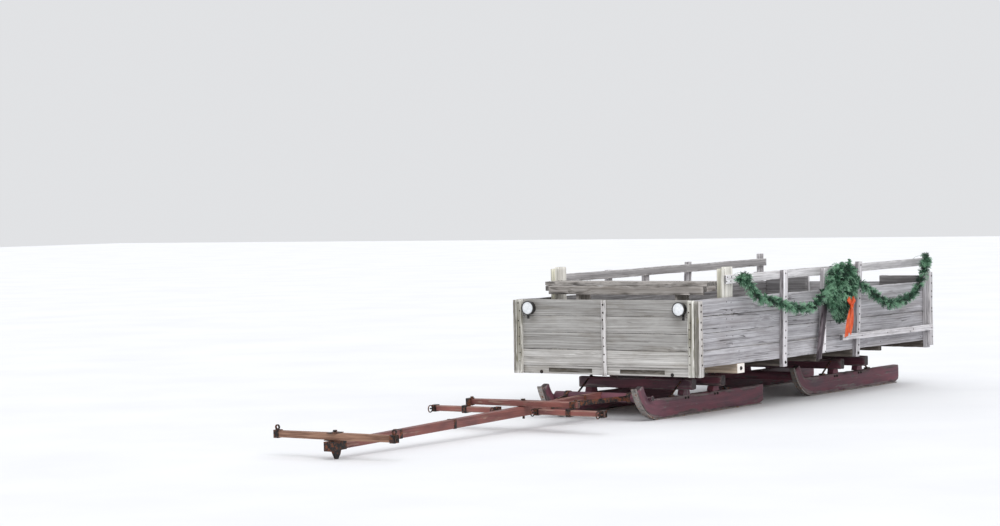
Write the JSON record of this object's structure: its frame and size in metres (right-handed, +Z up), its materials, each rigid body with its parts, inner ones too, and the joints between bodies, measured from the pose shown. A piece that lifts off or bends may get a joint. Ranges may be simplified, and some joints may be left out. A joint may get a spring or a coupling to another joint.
{
  "type": "horse drawn sleigh",
  "caption": "Farm bobsled: a plank box body with seats and rails on two short bobs, steered by a pole with evener, singletrees and neck yoke.",
  "frame": {"origin": "centre of the footprint, on the ground the runners stand on", "axes": "+X forward along the pole, +Y to the left side, +Z up"},
  "size_m": [9.0697, 2.226, 1.3873],
  "materials": {
    "grey_planks": "weathered, rough sawn",
    "front_planks": "weathered, rough sawn",
    "light_battens": "weathered, worn edges",
    "mossy_posts": "weathered with moss",
    "pale_posts": "half weathered",
    "brown_stake": "old, dark",
    "fresh_lumber": "newly sawn",
    "dark_beams": "damp, dark",
    "deck_wood": "worn, rough sawn",
    "seat_wood": "worn",
    "maroon_wood": "old maroon paint, worn",
    "pole_wood": "old red-brown paint, worn",
    "shoe_steel": "worn, light rust",
    "black_iron": "forged, rusty",
    "lamp_shell": "black enamel",
    "lamp_lens": "fluted glass",
    "evergreen": "needled garland",
    "ribbon_cloth": "satin ribbon"
  },
  "bodies": {
    "box": {"deck_boards": "deck_wood", "cross_beams": "dark_beams", "front_sill": "front_planks", "front_bolster": "fresh_lumber", "rear_bolster": "dark_beams", "side_sills": "dark_beams", "left_wall": "grey_planks", "right_wall": "grey_planks", "front_wall": "front_planks", "front_batten": "light_battens", "corner_posts": "mossy_posts", "stakes": "light_battens", "leaning_stake": "brown_stake", "rail_posts": "pale_posts", "top_rails": "light_battens", "rub_rails": "light_battens", "driver_seat": "seat_wood", "side_benches": "seat_wood", "rear_panels": "grey_planks", "door_posts": "light_battens", "hinge_pintles": "black_iron", "headlamps": "lamp_shell", "headlamp_lenses": "lamp_lens", "rear_bob_runners": "maroon_wood", "rear_bob_shoes": "shoe_steel", "rear_bob_knees": "maroon_wood", "rear_bob_stays": "black_iron", "rear_bob_beams": "maroon_wood", "rear_bob_king_board": "maroon_wood", "rear_nose_bar": "maroon_wood", "kingpins": "black_iron", "garland_front": "evergreen", "garland_rear": "evergreen", "garland_bunch": "evergreen", "ribbon": "ribbon_cloth"},
    "front_bob": {"front_bob_runners": "maroon_wood", "front_bob_shoes": "shoe_steel", "front_bob_knees": "maroon_wood", "front_bob_stays": "black_iron", "front_bob_beams": "maroon_wood", "front_bob_king_board": "maroon_wood", "front_bob_swivel_plate": "black_iron"},
    "pole": {"pole_roller": "maroon_wood", "pole": "pole_wood", "pole_irons": "black_iron", "pole_tip_iron": "black_iron"},
    "evener": {"evener": "pole_wood"},
    "singletree_left": {"singletree_left": "pole_wood", "singletree_left_irons": "black_iron"},
    "singletree_right": {"singletree_right": "pole_wood", "singletree_right_irons": "black_iron"},
    "neck_yoke": {"neck_yoke": "pole_wood", "neck_yoke_irons": "black_iron"},
    "tail_door": {"tail_door": "grey_planks", "door_straps": "black_iron"}
  },
  "joints": [
    {"name": "bob_steer", "type": "hinge", "parent": "box", "child": "front_bob", "pos_m": [-0.36284, 0, 0.35], "axis": [0, 0, 1], "range_deg": [-25, 25]},
    {"name": "pole_lift", "type": "hinge", "parent": "front_bob", "child": "pole", "pos_m": [0.56716, 0, 0.205], "axis": [0, -1, 0], "range_deg": [0, 35]},
    {"name": "evener_swing", "type": "hinge", "parent": "pole", "child": "evener", "pos_m": [1.79845, 0, 0.24095], "axis": [0.0251, 0, 0.9997], "range_deg": [-20, 20]},
    {"name": "singletree_left_swing", "type": "hinge", "parent": "evener", "child": "singletree_left", "pos_m": [1.79845, 0.54, 0.24095], "axis": [0.0251, 0, 0.9997], "range_deg": [-25, 25]},
    {"name": "singletree_right_swing", "type": "hinge", "parent": "evener", "child": "singletree_right", "pos_m": [1.79845, -0.54, 0.24095], "axis": [0.0251, 0, 0.9997], "range_deg": [-25, 25]},
    {"name": "neck_yoke_swing", "type": "hinge", "parent": "pole", "child": "neck_yoke", "pos_m": [4.43269, 0, 0.17765], "axis": [0.0251, 0, 0.9997], "range_deg": [-30, 30]},
    {"name": "tail_door_hinge", "type": "hinge", "parent": "box", "child": "tail_door", "pos_m": [-4.39384, 0.423, 0.8], "axis": [0, 0, -1], "range_deg": [0, 110]}
  ]
}
